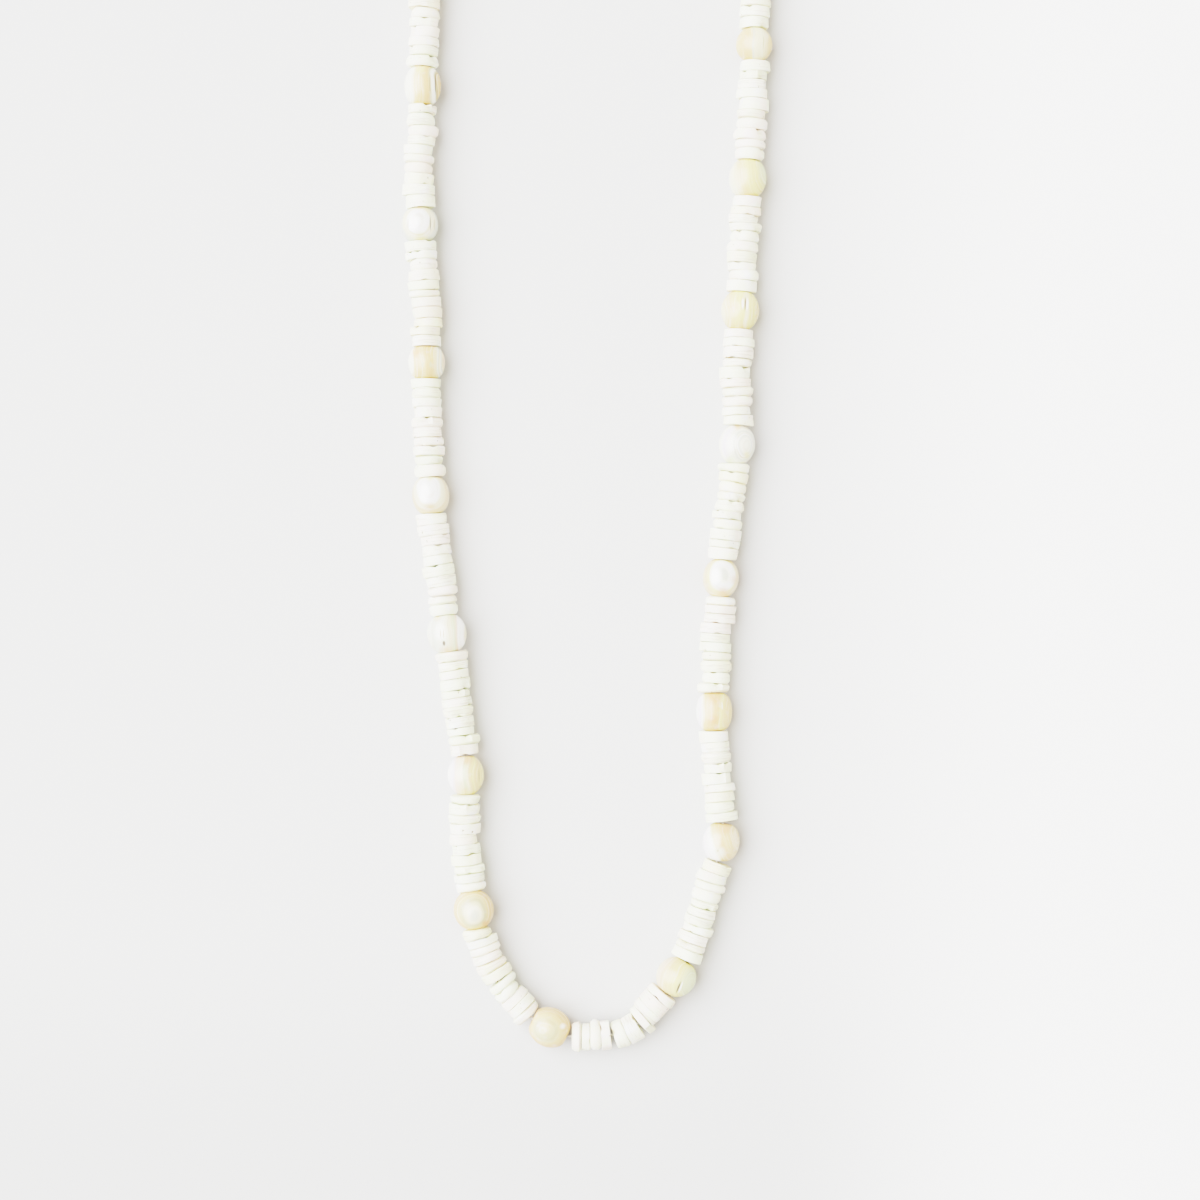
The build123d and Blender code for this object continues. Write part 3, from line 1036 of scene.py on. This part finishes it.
def band_tones(tree, across, bands):
    """The tone of each band, at its place across the layers."""
    ramp = node(tree, "ValToRGB", {0: maths(tree, "MULTIPLY_ADD", across, 0.5, 0.5)})
    stops = ramp.color_ramp.elements
    while len(stops) < len(bands):
        stops.new(0.5)
    for stop, (place, tone) in zip(stops, sorted(bands.items())):
        stop.position = (place + 1) / 2
        stop.color = TONES[tone]
    return ramp.outputs["Color"]


def add_cracks(tree, place, tone, relief, cracks):
    """The tone and the relief with cracks in them."""
    for x, y, end_x, end_y, width, crack in cracks:
        run_x, run_y = end_x - x, end_y - y
        middle_at = ((x + end_x) / 2, (y + end_y) / 2)
        reach = (math.hypot(run_x, run_y) / 2, width)
        share = patch(tree, place, middle_at, reach, math.atan2(run_y, run_x), CRACK_SOFT)
        tone = coated(tree, tone, (maths(tree, "MULTIPLY", share, CRACK_SHARE), TONES[crack]))
        relief = maths(tree, "SUBTRACT", relief, share)
    return tone, relief


# %% Finish each bead
LAYER_WAVE = 0.08  # how far the layers bend, in bead radii
WAVE_GRAIN = 0.9  # bends in a bead radius
LINE_GRAIN = 16.0  # fine lines in a bead radius
LINE_DRIFT = 0.5  # how much they change along the layers
TINT_CLOUDS = 2.2  # clouds of lilac and green in a bead radius
# Where in its pattern a tone starts and stops growing, and its least and most share.
WAVE_STEP = (0.25, 0.75, -LAYER_WAVE, LAYER_WAVE)
BROWN_LINE = (0.52, 0.72, 0.0, 0.32)
WHITE_LINE = (0.46, 0.28, 0.0, 0.32)
LILAC_TINT = (0.55, 0.8, 0.0, 0.25)
GREEN_TINT = (0.45, 0.2, 0.0, 0.25)
NACRE_RELIEF = (0.03 * MM, 0.6)
PLAIN_GLOSS = 0.15
NACRE_BODY = {
    "Roughness": 0.27, "Subsurface Weight": 0.2, "Subsurface Radius": (1.0, 0.75, 0.45),
    "Subsurface Scale": 0.7 * MM, "Coat Roughness": 0.3,
    "Coat IOR": 2.1,  # many thin layers mirror as one of this index
}
SEED_STEP = 1.7  # from one bead to the next


def nacre_finish(name, seed):
    """Polished mother of pearl, with the layers, spots and cracks of this bead."""
    look, solid = LOOKS[int(name[-2:])], beads[name]
    body = NACRE_BODY | {"Coat Weight": look.get("gloss", PLAIN_GLOSS)}
    finish, tree, shader = new_finish(f"nacre_{name[-2:]}", body)
    size = 1 / solid["radius"]
    inputs = {"Location": -solid["centre"] * size, "Scale": (size, size, size)}
    place = node(tree, "Mapping", {"Vector": own_place(tree)} | inputs).outputs[0]
    x, y = look["way"]
    way = Vector((x, y, math.sqrt(max(0.0, 1 - x * x - y * y))))
    bend = step(tree, grain(tree, place, WAVE_GRAIN, detail=0.0, seed=seed), *WAVE_STEP)
    across = maths(tree, "ADD", vectors(tree, "DOT_PRODUCT", place, way), bend)
    spots = [(patch(tree, place, (x, y), (reach, reach), 0.0, SPOT_SOFT, SPOT_SHARE), TONES[spot])
             for x, y, reach, spot in look.get("spots", ())]
    tone = coated(tree, band_tones(tree, across, look["bands"]), *spots)
    lined = node(tree, "CombineXYZ", {0: maths(tree, "MULTIPLY", across, LINE_GRAIN)})
    drift = vectors(tree, "ADD", lined.outputs[0], scaled(tree, place, LINE_DRIFT))
    lines = grain(tree, drift, 1.0, seed=seed + 3)
    tints = grain(tree, place, TINT_CLOUDS, seed=seed + 7)
    tone = coated(tree, tone,
                  (step(tree, lines, *BROWN_LINE), TONES["brown"]),
                  (step(tree, lines, *WHITE_LINE), TONES["white"]),
                  (step(tree, tints, *LILAC_TINT), TONES["lilac"]),
                  (step(tree, tints, *GREEN_TINT), TONES["green"]))
    tone, relief = add_cracks(tree, place, tone, lines, look.get("cracks", ()))
    cover(tree, shader, tone, relief, *NACRE_RELIEF)
    return finish


for number, (name, bead) in enumerate(polished.items()):
    dress(bead, nacre_finish(name, number * SEED_STEP))
print("finished", len(polished), "beads in mother of pearl")

# %% [markdown]
# ## The clasp and the thread
#
# The fastening is out of the picture. Such a necklace usually has a plain screw barrel: two
# halves that meet in a fine seam, with a collar at each end where the thread goes in. It could be
# put together from cylinders, but turned like the beads, it has no joins to hide.
#
# The thread hardly shows between the discs. It keeps its solid from the frame, with the fine
# slanting fibres of twisted nylon.

# %% Turn the clasp
EDGE = 0.12 * MM
SEAM = 0.09 * MM


def turn_clasp():
    """A barrel of two halves with a collar at each end."""
    long, wide, hole = (clasp_solid[key] for key in ("length", "radius", "hole"))
    half = [
        (hole, 0.5), (hole + EDGE, 0.5), (wide * 0.52, 0.5), (wide * 0.58, 0.492),
        (wide * 0.6, 0.48), (wide * 0.6, 0.45), (wide * 0.56, 0.44), (wide * 0.56, 0.42),
        (wide * 0.6, 0.41), (wide * 0.6, 0.375), (wide * 0.66, 0.367), (wide * 0.8, 0.364),
        (wide * 0.87, 0.352), (wide * 0.95, 0.325), (wide * 0.99, 0.305), (wide, 0.285),
        (wide, 0.24), (wide - SEAM, 0.232), (wide - SEAM, 0.218), (wide, 0.21),
        (wide, SEAM / long), (wide - SEAM, 0.0),
    ]
    upper = [(reach, share * long) for reach, share in half]
    lower = [(reach, -height) for reach, height in reversed(upper[:-1])]
    return turn_piece("screw_barrel", upper + lower, clasp_solid)


screw_barrel = turn_clasp()
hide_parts("barrel_clasp")
print("clasp with", len(screw_barrel.data.polygons), "faces")

# %% Finish the clasp
METAL_BRIGHT = (0.74, 0.74, 0.73, 1)
METAL_WORN = (0.62, 0.62, 0.61, 1)
METAL_WEAR_GRAIN = 700.0
MARK_GRAIN = (60000.0, 500.0, 500.0)  # in a metre: the clasp lies along x, its marks go round
MARK_SHINE = (0.3, 0.7, 0.24, 0.38)  # the roughness goes from 0.24 to 0.38
METAL_RELIEF = (0.008 * MM, 0.5)


def metal_finish():
    """Satin metal, with fine marks of turning round it and a little wear."""
    finish, tree, shader = new_finish("satin_clasp", {"Metallic": 1.0})
    place = own_place(tree)
    turned = grain(tree, vectors(tree, "MULTIPLY", place, MARK_GRAIN), 1.0)
    worn = grain(tree, place, METAL_WEAR_GRAIN, detail=3.0)
    tone = coated(tree, METAL_BRIGHT, (worn, METAL_WORN))
    tree.links.new(step(tree, turned, *MARK_SHINE), shader.inputs["Roughness"])
    cover(tree, shader, tone, turned, *METAL_RELIEF)
    return finish


dress(screw_barrel, metal_finish())
print("clasp finished")

# %% Finish the thread
NYLON_DARK = (0.66, 0.62, 0.54, 1)
NYLON_PALE = (0.86, 0.84, 0.78, 1)
NYLON_FUZZ = (0.92, 0.9, 0.85, 1)
NYLON_FIBRES = {"Scale": 900.0, "Distortion": 1.5, "Detail": 1.0}
NYLON_RELIEF = (0.05 * MM, 0.7)
FUZZ_GRAIN = 4000.0
FUZZ_STEP = (0.5, 0.8, 0.0, 0.4)


def thread_finish():
    """Pale nylon with slanting fibres."""
    finish, tree, shader = new_finish("twisted_nylon", {"Roughness": 0.6})
    place = own_place(tree)
    fibres = node(tree, "TexWave", {"Vector": place} | NYLON_FIBRES,
                  bands_direction="DIAGONAL").outputs["Fac"]
    fuzz = step(tree, grain(tree, place, FUZZ_GRAIN), *FUZZ_STEP)
    tone = coated(tree, NYLON_DARK, (fibres, NYLON_PALE), (fuzz, NYLON_FUZZ))
    cover(tree, shader, tone, fibres, *NYLON_RELIEF)
    return finish


dress(nodes["thread"], thread_finish())
print("thread finished")
